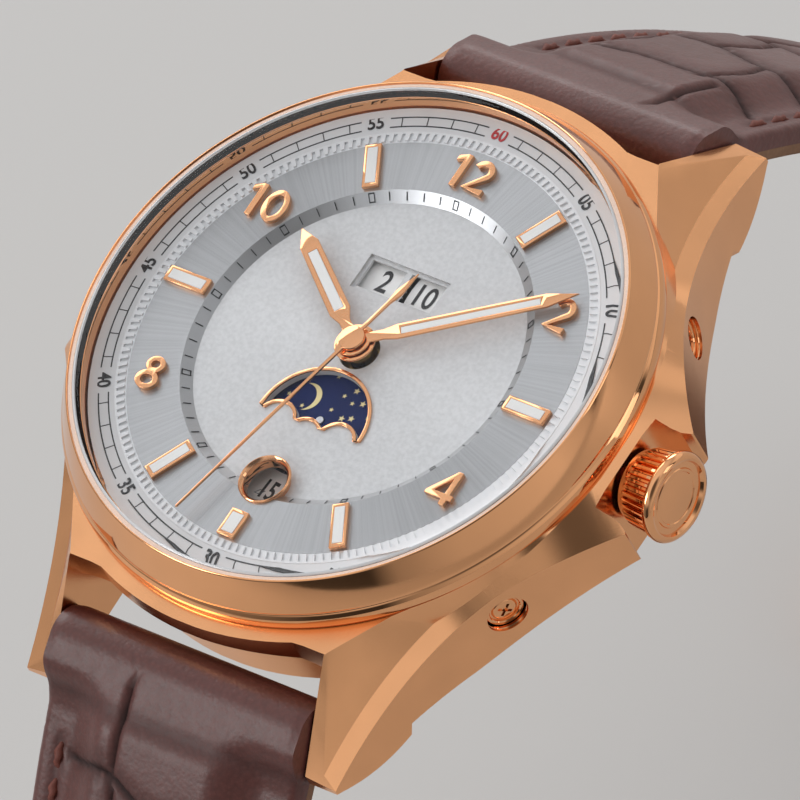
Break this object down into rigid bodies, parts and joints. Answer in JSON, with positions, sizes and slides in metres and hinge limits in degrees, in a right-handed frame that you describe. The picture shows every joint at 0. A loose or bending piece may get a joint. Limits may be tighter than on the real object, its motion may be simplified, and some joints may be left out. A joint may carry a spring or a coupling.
{
  "type": "automatic wristwatch",
  "caption": "Automatic calendar wristwatch with domed crystal, dial with moon window, sapphire back, pushers, crown and padded leather strap with pin buckle.",
  "frame": {"origin": "centre of the flat outer face of the case back", "axes": "+Z out of the dial, +Y towards twelve o'clock, +X towards the crown"},
  "size_m": [0.0443, 0.1034, 0.0795],
  "materials": {
    "satin_gold": "satin",
    "polished_gold": "polished",
    "crystal": "polished",
    "gasket": "satin",
    "dial_silver": "satin",
    "lume": "matte",
    "plated_steel": "satin",
    "brass": "satin",
    "ruby": "polished",
    "blued_steel": "polished",
    "white_print": "matte",
    "night_blue": "satin",
    "upper_leather": "glossy",
    "lining_leather": "matte",
    "rotor_metal": "satin"
  },
  "bodies": {
    "head": {"case_middle": "satin_gold", "bezel": "polished_gold", "crystal": "crystal", "crystal_gasket": "gasket", "dial_flange": "dial_silver", "fluted_ring": "dial_silver", "dial_plate": "dial_silver", "hour_markers": "polished_gold", "hour_numerals": "polished_gold", "lume_inlays": "lume", "moon_window_frame": "polished_gold", "date_window_frame": "polished_gold", "movement_ring": "plated_steel", "main_plate": "plated_steel", "barrel_bridge": "plated_steel", "train_bridge": "plated_steel", "pallet_bridge": "plated_steel", "balance_cock": "plated_steel", "jewels": "ruby", "movement_screws": "blued_steel", "case_back_ring": "satin_gold", "case_back_glass": "crystal", "case_back_gasket": "gasket", "crown_tube": "polished_gold", "hairspring": "blued_steel", "rotor_bearing": "plated_steel", "spring_bars": "plated_steel"},
    "stem": {"winding_stem": "plated_steel"},
    "crown_body": {"crown": "polished_gold", "crown_gasket": "gasket"},
    "pusher_2": {"corrector_2": "polished_gold"},
    "pusher_4": {"corrector_4": "polished_gold"},
    "seconds_work": {"fourth_wheel": "brass", "seconds_hand": "polished_gold"},
    "minute_work": {"cannon_pinion": "plated_steel", "minute_hand": "polished_gold"},
    "hour_work": {"hour_wheel": "brass", "hour_hand": "polished_gold"},
    "minute_wheel_body": {"minute_wheel": "brass"},
    "third_wheel_body": {"third_wheel": "brass"},
    "second_wheel_body": {"second_wheel": "brass"},
    "barrel_body": {"mainspring_barrel": "brass"},
    "escape_body": {"escape_wheel": "plated_steel"},
    "pallet_body": {"pallet_fork": "plated_steel"},
    "balance_body": {"balance_wheel": "brass"},
    "rotor_body": {"rotor": "rotor_metal"},
    "date_body": {"date_disc": "white_print"},
    "day_body": {"day_disc": "white_print"},
    "month_body": {"month_disc": "white_print"},
    "moon_body": {"moon_disc": "night_blue"},
    "strap_12": {"strap_12_upper": "upper_leather", "strap_12_lining": "lining_leather", "fixed_keeper": "upper_leather"},
    "strap_6": {"strap_6_upper": "upper_leather", "strap_6_lining": "lining_leather"},
    "keeper_loop": {"free_keeper": "upper_leather"},
    "buckle": {"buckle_frame": "polished_gold", "buckle_bar": "plated_steel"},
    "tongue": {"buckle_tongue": "polished_gold"}
  },
  "joints": [
    {"name": "seconds", "type": "hinge", "parent": "head", "child": "seconds_work", "pos_m": [0, 0, 0.0106], "axis": [0, 0, 1], "continuous": true},
    {"name": "minutes", "type": "hinge", "parent": "head", "child": "minute_work", "pos_m": [0, 0, 0.0103], "axis": [0, 0, 1], "continuous": true},
    {"name": "hours", "type": "hinge", "parent": "head", "child": "hour_work", "pos_m": [0, 0, 0.01], "axis": [0, 0, 1], "continuous": true},
    {"name": "minute_wheel_turn", "type": "hinge", "parent": "head", "child": "minute_wheel_body", "pos_m": [-0.00282, -0.00103, 0.0077], "axis": [0, 0, 1], "continuous": true},
    {"name": "third_wheel_turn", "type": "hinge", "parent": "head", "child": "third_wheel_body", "pos_m": [0, -0.00504, 0.005], "axis": [0, 0, 1], "continuous": true},
    {"name": "second_wheel_turn", "type": "hinge", "parent": "head", "child": "second_wheel_body", "pos_m": [-0.00451, -0.00379, 0.0059], "axis": [0, 0, 1], "continuous": true},
    {"name": "barrel_turn", "type": "hinge", "parent": "head", "child": "barrel_body", "pos_m": [-0.0072, 0.0034, 0.005], "axis": [0, 0, 1], "continuous": true},
    {"name": "escape_turn", "type": "hinge", "parent": "head", "child": "escape_body", "pos_m": [0.00465, 0.00166, 0.0055], "axis": [0, 0, 1], "continuous": true},
    {"name": "pallet_swing", "type": "hinge", "parent": "head", "child": "pallet_body", "pos_m": [0.00623, -0.00084, 0.0055], "axis": [0, 0, 1], "range_deg": [-6, 6]},
    {"name": "balance_swing", "type": "hinge", "parent": "head", "child": "balance_body", "pos_m": [0.0086, -0.0046, 0.0047], "axis": [0, 0, 1], "range_deg": [-135, 135], "deforming": ["hairspring"]},
    {"name": "rotor_turn", "type": "hinge", "parent": "head", "child": "rotor_body", "pos_m": [0, 0, 0.0026], "axis": [0, 0, 1], "continuous": true},
    {"name": "date_turn", "type": "hinge", "parent": "head", "child": "date_body", "pos_m": [0, 0, 0.0078], "axis": [0, 0, 1], "continuous": true},
    {"name": "day_turn", "type": "hinge", "parent": "head", "child": "day_body", "pos_m": [-0.006, 0.00512, 0.0084], "axis": [0, 0, 1], "continuous": true},
    {"name": "month_turn", "type": "hinge", "parent": "head", "child": "month_body", "pos_m": [0.006, 0.00512, 0.0084], "axis": [0, 0, 1], "continuous": true},
    {"name": "moon_turn", "type": "hinge", "parent": "head", "child": "moon_body", "pos_m": [0, -0.005, 0.0084], "axis": [0, 0, 1], "continuous": true},
    {"name": "crown_pull", "type": "slide", "parent": "head", "child": "stem", "axis": [1, 0, 0], "range_m": [0, 0.001]},
    {"name": "crown_turn", "type": "hinge", "parent": "stem", "child": "crown_body", "pos_m": [0.022, 0, 0.00595], "axis": [1, 0, 0], "continuous": true},
    {"name": "corrector_2_press", "type": "slide", "parent": "head", "child": "pusher_2", "axis": [-0.8545, -0.5195, 0], "range_m": [0, 0.0005], "stiffness_N_per_m": 1000, "springref_m": -0.0005},
    {"name": "corrector_4_press", "type": "slide", "parent": "head", "child": "pusher_4", "axis": [-0.8545, 0.5195, 0], "range_m": [0, 0.0005], "stiffness_N_per_m": 1000, "springref_m": -0.0005},
    {"name": "strap_12_swing", "type": "hinge", "parent": "head", "child": "strap_12", "pos_m": [0, 0.0225, 0.0042], "axis": [1, 0, 0], "range_deg": [0, 60]},
    {"name": "strap_6_swing", "type": "hinge", "parent": "head", "child": "strap_6", "pos_m": [0, -0.0225, 0.0042], "axis": [-1, 0, 0], "range_deg": [0, 60]},
    {"name": "keeper_slide", "type": "hinge", "parent": "strap_12", "child": "keeper_loop", "pos_m": [0, 0.02114, -0.03727], "axis": [-1, 0, 0], "range_deg": [-8, 8]},
    {"name": "buckle_swing", "type": "hinge", "parent": "strap_12", "child": "buckle", "pos_m": [0, 0.03555, -0.05897], "axis": [1, 0, 0], "range_deg": [-40, 40]},
    {"name": "tongue_lift", "type": "hinge", "parent": "buckle", "child": "tongue", "pos_m": [0, 0.03555, -0.05897], "axis": [1, 0, 0], "range_deg": [0, 60]}
  ],
  "couplings": [
    {"joint": "minutes", "follows": "seconds", "ratio": 0.016667},
    {"joint": "hours", "follows": "seconds", "ratio": 0.0013889},
    {"joint": "minute_wheel_turn", "follows": "seconds", "ratio": -0.0055556},
    {"joint": "third_wheel_turn", "follows": "seconds", "ratio": -0.125},
    {"joint": "second_wheel_turn", "follows": "seconds", "ratio": 0.016667},
    {"joint": "barrel_turn", "follows": "seconds", "ratio": -0.002381},
    {"joint": "escape_turn", "follows": "seconds", "ratio": -12}
  ]
}
